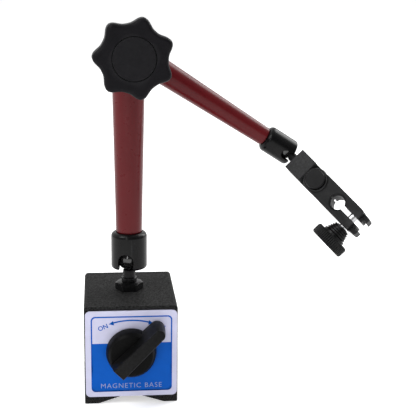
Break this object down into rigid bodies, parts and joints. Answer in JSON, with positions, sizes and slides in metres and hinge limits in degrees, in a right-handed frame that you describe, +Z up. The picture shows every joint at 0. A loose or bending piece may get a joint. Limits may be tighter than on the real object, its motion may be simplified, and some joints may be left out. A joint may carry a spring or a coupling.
{
  "type": "magnetic base indicator stand",
  "caption": "Switchable magnetic base with a mechanical two-section arm, one locking elbow knob, ball joints and a split clamp with dovetail jaws for an indicator.",
  "frame": {"origin": "on the surface the stand rests on, under the centre of its bounding box", "axes": "+Z up, -Y towards the switch on the base's front, +X towards the side that the upper arm reaches to"},
  "size_m": [0.1578, 0.083, 0.2064],
  "materials": {
    "black_oxide": "black oxide, satin",
    "black_plastic": "black, satin",
    "brass": "turned",
    "bright_steel": "ground",
    "crinkle_paint": "black crinkle paint",
    "ferrite": "dark grey magnet",
    "label_print": "printed blue and white foil",
    "red_anodised": "deep red satin"
  },
  "bodies": {
    "base": {"base_pole_left": "crinkle_paint", "base_pole_right": "crinkle_paint", "base_spacer_lower": "brass", "base_spacer_upper": "brass", "front_cover": "crinkle_paint", "rear_cover": "crinkle_paint", "front_label": "label_print", "base_ball_stud": "black_oxide", "front_cover_screw_1": "black_oxide", "front_cover_screw_2": "black_oxide", "front_cover_screw_3": "black_oxide", "front_cover_screw_4": "black_oxide", "rear_cover_screw_1": "black_oxide", "rear_cover_screw_2": "black_oxide", "rear_cover_screw_3": "black_oxide", "rear_cover_screw_4": "black_oxide"},
    "switch": {"switch_knob": "black_plastic", "switch_grub_screw": "black_oxide", "switch_shaft": "bright_steel", "switch_stop_pin": "bright_steel", "rotor_magnet": "ferrite"},
    "base_ball": {"base_ball": "bright_steel"},
    "lower_arm": {"lower_arm": "red_anodised", "lower_socket": "black_oxide", "elbow_thrust_washer": "bright_steel", "elbow_friction_ring": "brass"},
    "lower_push": {"lower_push_rod": "bright_steel", "lower_ball_pad": "bright_steel"},
    "draw_bolt": {"draw_bolt": "bright_steel", "elbow_end_nut": "black_oxide", "elbow_disc_spring": "bright_steel"},
    "elbow_knob": {"elbow_knob": "black_plastic", "elbow_knob_cap": "black_plastic", "elbow_knob_insert": "brass"},
    "upper_arm": {"upper_arm": "red_anodised", "upper_socket": "black_oxide"},
    "upper_push": {"upper_push_rod": "bright_steel", "upper_ball_pad": "bright_steel"},
    "tip_ball": {"tip_ball": "bright_steel"},
    "tip_block": {"swivel_block": "black_oxide", "clamp_pivot_screw": "black_oxide", "clamp_pivot_washer": "black_oxide", "clamp_pivot_nut": "black_oxide"},
    "clamp_bar": {"clamp_bar": "black_oxide"},
    "clamp_screw": {"clamp_screw": "bright_steel"},
    "clamp_knob": {"clamp_knob": "black_oxide"}
  },
  "joints": [
    {"name": "switch_turn", "type": "hinge", "parent": "base", "child": "switch", "pos_m": [-0.05386, 0.00552, 0.03], "axis": [0, -1, 0], "range_deg": [0, 90]},
    {"name": "base_ball_swivel", "type": "hinge", "parent": "base", "child": "base_ball", "pos_m": [-0.05386, 0.00552, 0.073], "axis": [0, 0, 1], "continuous": true},
    {"name": "base_ball_tilt", "type": "hinge", "parent": "base_ball", "child": "lower_arm", "pos_m": [-0.05386, 0.00552, 0.073], "axis": [0.972, -0.2351, 0], "range_deg": [-12, 80]},
    {"name": "lower_push_slide", "type": "slide", "parent": "lower_arm", "child": "lower_push", "axis": [0, 0, 1], "range_m": [0, 0.0002]},
    {"name": "elbow_knob_turn", "type": "hinge", "parent": "lower_arm", "child": "elbow_knob", "pos_m": [-0.05386, 0.00552, 0.1865], "axis": [0.0419, -0.9991, 0], "range_deg": [0, 270]},
    {"name": "draw_bolt_slide", "type": "slide", "parent": "lower_arm", "child": "draw_bolt", "axis": [-0.0419, 0.9991, 0], "range_m": [0, 0.00095]},
    {"name": "elbow_turn", "type": "hinge", "parent": "lower_arm", "child": "upper_arm", "pos_m": [-0.05386, 0.00552, 0.1865], "axis": [0.0419, -0.9991, 0], "range_deg": [-30, 275]},
    {"name": "upper_push_slide", "type": "slide", "parent": "upper_arm", "child": "upper_push", "axis": [-0.8436, -0.0354, 0.5358], "range_m": [0, 0.0002]},
    {"name": "tip_ball_tilt", "type": "hinge", "parent": "upper_arm", "child": "tip_ball", "pos_m": [0.03584, 0.02689, 0.12906], "axis": [-0.5271, 0.2454, -0.8136], "range_deg": [-50, 40]},
    {"name": "tip_ball_spin", "type": "hinge", "parent": "tip_ball", "child": "tip_block", "pos_m": [0.03584, 0.02689, 0.12906], "axis": [0.5615, -0.6181, -0.5502], "continuous": true},
    {"name": "clamp_pivot", "type": "hinge", "parent": "tip_block", "child": "clamp_bar", "pos_m": [0.05167, 0.00946, 0.11354], "axis": [-0.4079, -0.7852, 0.4659], "range_deg": [-90, 90]},
    {"name": "clamp_screw_feed", "type": "slide", "parent": "clamp_bar", "child": "clamp_screw", "axis": [-0.72, -0.0372, -0.693], "range_m": [0, 0.0017]},
    {"name": "clamp_knob_turn", "type": "hinge", "parent": "clamp_screw", "child": "clamp_knob", "pos_m": [0.0679, -0.0084, 0.09764], "axis": [-0.72, -0.0372, -0.693], "range_deg": [0, 720]}
  ],
  "couplings": [
    {"joint": "draw_bolt_slide", "follows": "elbow_knob_turn", "m_per_rad": 0.0002},
    {"joint": "lower_push_slide", "follows": "elbow_knob_turn", "m_per_rad": 0.00004},
    {"joint": "upper_push_slide", "follows": "elbow_knob_turn", "m_per_rad": 0.00004},
    {"joint": "clamp_screw_feed", "follows": "clamp_knob_turn", "m_per_rad": 0.000127}
  ]
}
